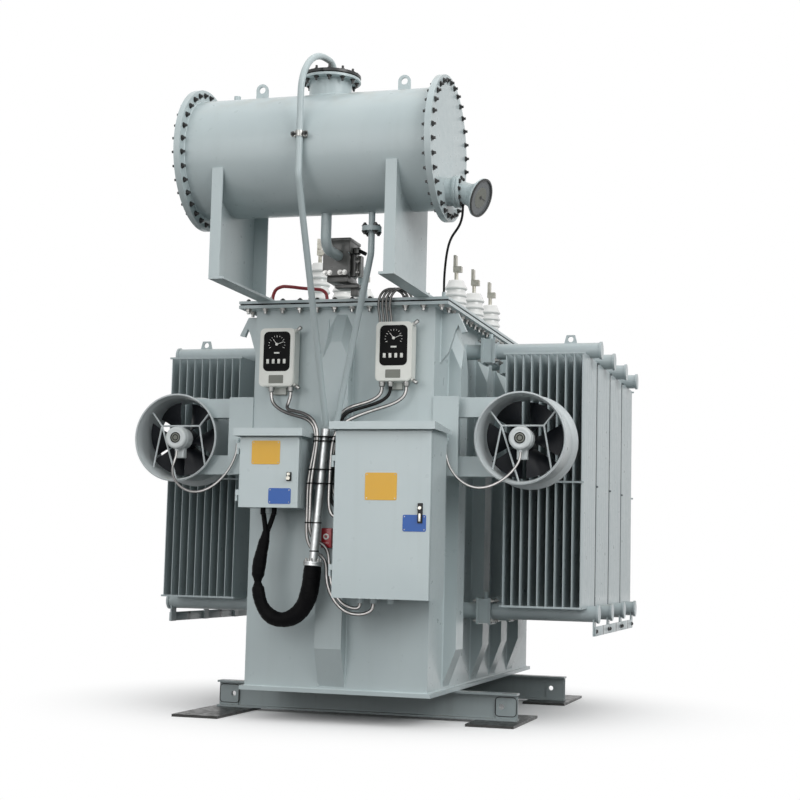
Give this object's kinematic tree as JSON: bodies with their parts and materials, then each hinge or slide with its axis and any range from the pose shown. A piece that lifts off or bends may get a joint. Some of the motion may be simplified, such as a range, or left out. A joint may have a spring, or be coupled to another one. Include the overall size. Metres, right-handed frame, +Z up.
{
  "type": "power transformer",
  "caption": "Oil-filled power transformer on skids, with a conservator, panel radiators, cooling fans, porcelain bushings, a control cabinet and a terminal box.",
  "frame": {"origin": "on the ground, at the centre of the four hold-down holes", "axes": "+Z up, +Y from the cabinet end to the far end, +X to the right of someone facing the cabinets"},
  "size_m": [2.462, 3.264, 3.277],
  "materials": {
    "tank_paint": "gloss blue-grey paint",
    "radiator_paint": "gloss blue-grey paint",
    "plate_steel": "dark rolled plate",
    "gasket_rubber": "matt",
    "porcelain": "white glaze",
    "terminal_metal": "tinned",
    "instrument_case": "cream enamel",
    "lock_black": "satin",
    "rotor_dark": "dark paint",
    "motor_paint": "gloss paint",
    "cable_black": "satin",
    "conduit_metal": "ribbed",
    "riser_zinc": "zinc coated",
    "alarm_red": "gloss"
  },
  "bodies": {
    "root": {"alarm_box": "alarm_red", "breather_pipe": "tank_paint", "bushing_terminals": "terminal_metal", "bushings": "porcelain", "cable_riser": "riser_zinc", "capillary_tubes": "conduit_metal", "conservator_left_end": "tank_paint", "conservator_right_end": "tank_paint", "conservator_shell": "tank_paint", "control_cabinet": "tank_paint", "controller_conduits": "conduit_metal", "cover_gasket": "gasket_rubber", "cover_tube": "alarm_red", "enclosure_rails": "tank_paint", "filler_pipe": "tank_paint", "front_skid": "tank_paint", "front_stiffener": "tank_paint", "gas_relay": "tank_paint", "gauge_lead": "cable_black", "ground_plates": "plate_steel", "left_fan_bracket": "tank_paint", "left_fan_duct": "tank_paint", "left_fan_lead": "conduit_metal", "left_fan_motor": "motor_paint", "left_radiator_1": "radiator_paint", "left_radiator_2": "radiator_paint", "left_radiator_3": "radiator_paint", "left_radiator_4": "radiator_paint", "left_saddle": "tank_paint", "neck_cover": "tank_paint", "neck_gasket": "gasket_rubber", "oil_level_gauge": "tank_paint", "radiator_links": "tank_paint", "radiator_valves": "tank_paint", "rear_skid": "tank_paint", "rear_stiffener": "tank_paint", "relay_pipes": "tank_paint", "right_fan_bracket": "tank_paint", "right_fan_duct": "tank_paint", "right_fan_lead": "conduit_metal", "right_fan_motor": "motor_paint", "right_radiator_1": "radiator_paint", "right_radiator_2": "radiator_paint", "right_radiator_3": "radiator_paint", "right_radiator_4": "radiator_paint", "right_saddle": "tank_paint", "side_stiffeners": "tank_paint", "tank_cover": "tank_paint", "tank_floor": "tank_paint", "tank_rim": "tank_paint", "tank_walls": "tank_paint", "temperature_controllers": "instrument_case", "terminal_box": "tank_paint", "trunk_cable": "cable_black"},
    "control_cabinet_door": {"control_cabinet_door": "tank_paint", "control_cabinet_lock": "lock_black"},
    "terminal_box_door": {"terminal_box_door": "tank_paint", "terminal_box_lock": "lock_black"},
    "left_fan_rotor": {"left_fan_rotor": "rotor_dark"},
    "right_fan_rotor": {"right_fan_rotor": "rotor_dark"}
  },
  "joints": [
    {"name": "control_cabinet_door_hinge", "type": "hinge", "parent": "root", "child": "control_cabinet_door", "pos_m": [0.07, -1.542, 1.04], "axis": [0, 0, -1], "range_deg": [0, 110]},
    {"name": "terminal_box_door_hinge", "type": "hinge", "parent": "root", "child": "terminal_box_door", "pos_m": [-0.459, -1.464, 1.25], "axis": [0, 0, -1], "range_deg": [0, 110]},
    {"name": "left_fan_spin", "type": "hinge", "parent": "root", "child": "left_fan_rotor", "pos_m": [-0.923, -1.051, 1.44], "axis": [0, 1, 0], "continuous": true},
    {"name": "right_fan_spin", "type": "hinge", "parent": "root", "child": "right_fan_rotor", "pos_m": [0.923, -1.051, 1.44], "axis": [0, 1, 0], "continuous": true}
  ]
}
